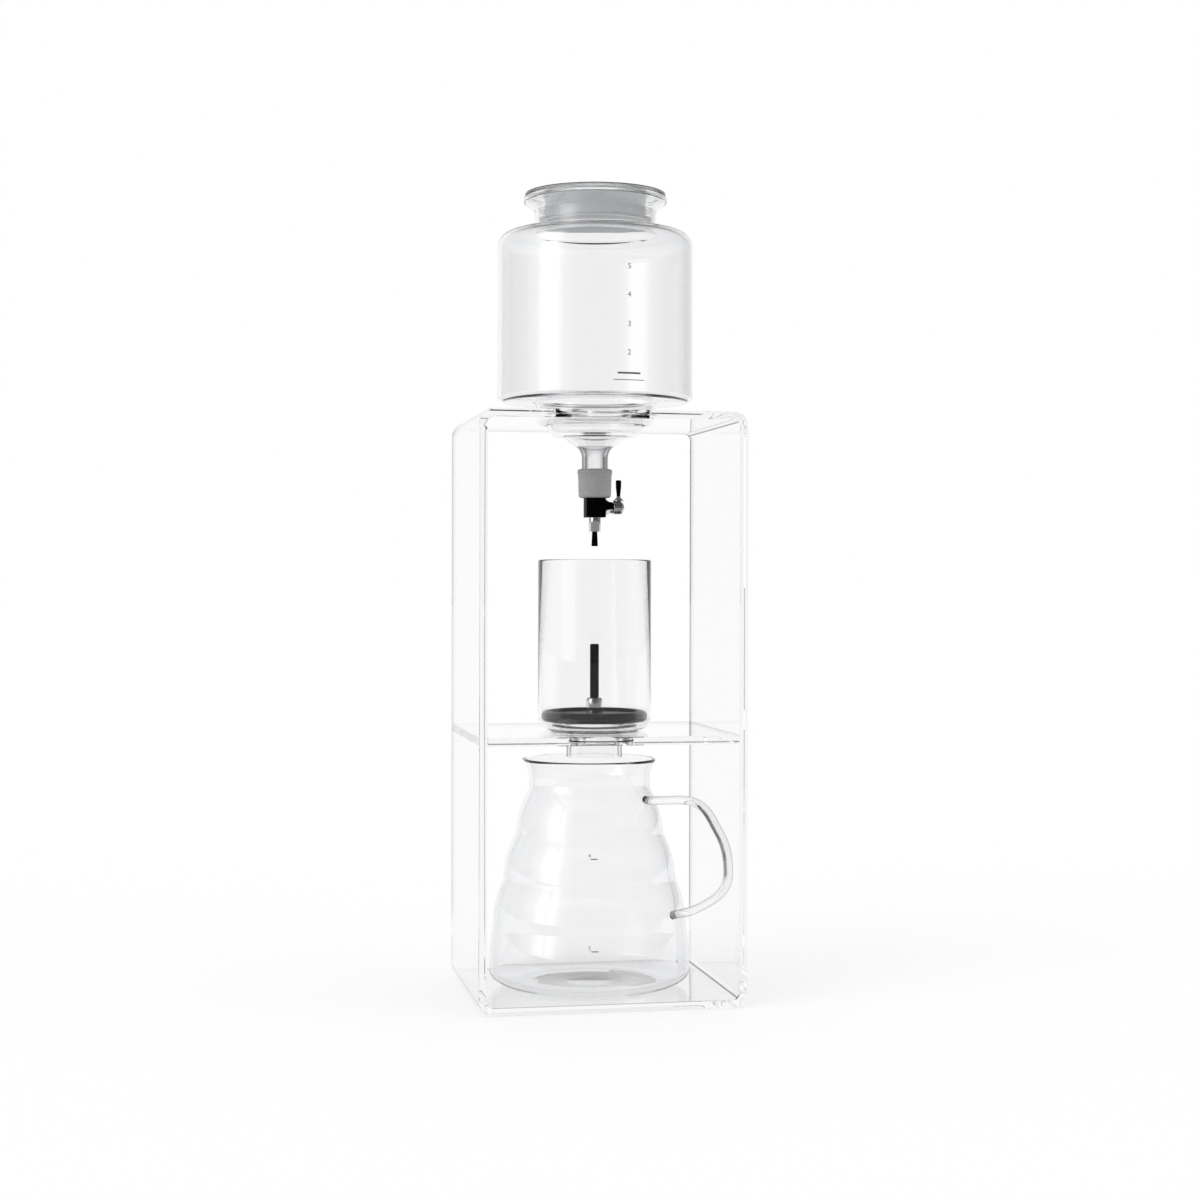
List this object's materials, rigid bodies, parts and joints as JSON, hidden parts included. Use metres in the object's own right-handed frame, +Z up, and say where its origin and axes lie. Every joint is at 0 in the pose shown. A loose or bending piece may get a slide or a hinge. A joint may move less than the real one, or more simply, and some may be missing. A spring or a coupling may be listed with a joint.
{
  "type": "cold drip coffee tower",
  "caption": "Clear acrylic stand with a glass water bowl and drip tap above a glass coffee cylinder with a lift-out filter, over a rippled glass server with a handle.",
  "frame": {"origin": "middle of the stand's underside", "axes": "+Z up, +X to the right seen from the open front with the bowl's scale, +Y to the back"},
  "size_m": [0.16, 0.13, 0.4884],
  "materials": {
    "acrylic": "clear, polished edges",
    "glass": "clear blown borosilicate",
    "frosted_plastic": "frosted, translucent",
    "grey_silicone": "matt translucent grey silicone",
    "black_rubber": "satin black silicone",
    "chrome": "polished",
    "dark_steel": "gloss black over metal",
    "steel": "brushed",
    "steel_mesh": "fine woven mesh"
  },
  "bodies": {
    "stand": {"stand_frame": "acrylic", "shelf": "acrylic"},
    "bowl": {"water_bowl": "glass", "bowl_outlet": "glass", "stopper": "grey_silicone", "tap_inlet": "chrome", "tap_body": "chrome", "tap_gland": "chrome", "nozzle_sleeve": "chrome", "drip_tube": "dark_steel"},
    "key": {"tap_key": "chrome", "key_seals": "black_rubber", "lever_collar": "chrome", "lever_stem": "chrome", "lever_grip": "dark_steel"},
    "lid": {"lid": "frosted_plastic"},
    "cylinder": {"coffee_cylinder": "glass"},
    "filter": {"filter_ring": "black_rubber", "filter_plate": "steel", "filter_mesh": "steel_mesh", "filter_boss": "chrome", "filter_rod": "dark_steel", "filter_nut": "chrome"},
    "server": {"server_jug": "glass", "server_handle": "glass"}
  },
  "joints": [
    {"name": "bowl_lift", "type": "slide", "parent": "stand", "child": "bowl", "axis": [0, 0, 1], "range_m": [0, 0.09]},
    {"name": "lid_lift", "type": "slide", "parent": "bowl", "child": "lid", "axis": [0, 0, 1], "range_m": [0, 0.03]},
    {"name": "tap_turn", "type": "hinge", "parent": "bowl", "child": "key", "pos_m": [0.0148, 0, 0.29685], "axis": [1, 0, 0], "range_deg": [0, 90]},
    {"name": "cylinder_lift", "type": "slide", "parent": "stand", "child": "cylinder", "axis": [0, 0, 1], "range_m": [0, 0.018]},
    {"name": "filter_lift", "type": "slide", "parent": "cylinder", "child": "filter", "axis": [0, 0, 1], "range_m": [0, 0.035]},
    {"name": "server_slide", "type": "slide", "parent": "stand", "child": "server", "axis": [0, -1, 0], "range_m": [0, 0.15]}
  ]
}
